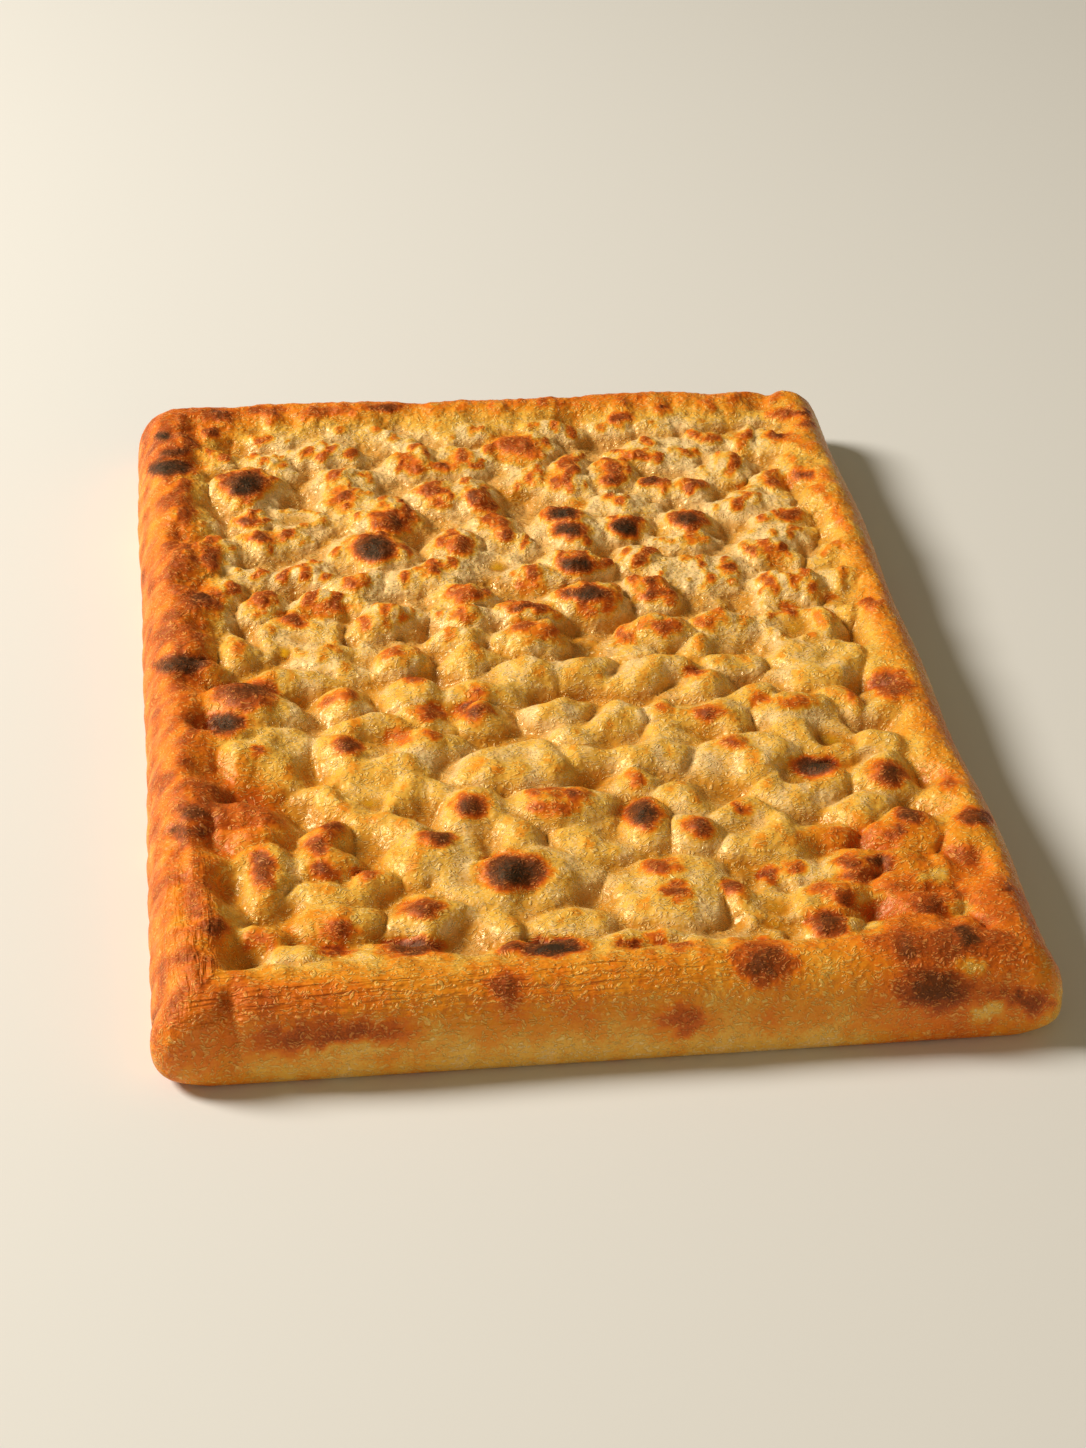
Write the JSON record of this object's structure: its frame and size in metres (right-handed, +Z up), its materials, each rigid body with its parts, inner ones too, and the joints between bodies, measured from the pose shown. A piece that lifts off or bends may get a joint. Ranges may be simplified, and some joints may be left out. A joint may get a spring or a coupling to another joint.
{
  "type": "schiacciata flatbread",
  "caption": "Rectangular oven-baked flatbread with a dimpled, blistered top, a browned rim and olive oil lying in the dimples.",
  "frame": {"origin": "middle of the flat underside, on the surface that the bread lies on", "axes": "+X across the bread to the right, +Y along its length from the front edge to the back, +Z up"},
  "size_m": [0.29, 0.389, 0.033],
  "materials": {
    "crust": "baked bread crust, pale straw between golden and dark brown blisters, sheen of oil",
    "olive_oil": "clear golden-green oil, wet gloss"
  },
  "bodies": {
    "root": {"bread": "crust", "oil_1": "olive_oil", "oil_2": "olive_oil", "oil_3": "olive_oil", "oil_4": "olive_oil", "oil_5": "olive_oil", "oil_6": "olive_oil", "oil_7": "olive_oil", "oil_8": "olive_oil"}
  },
  "joints": []
}
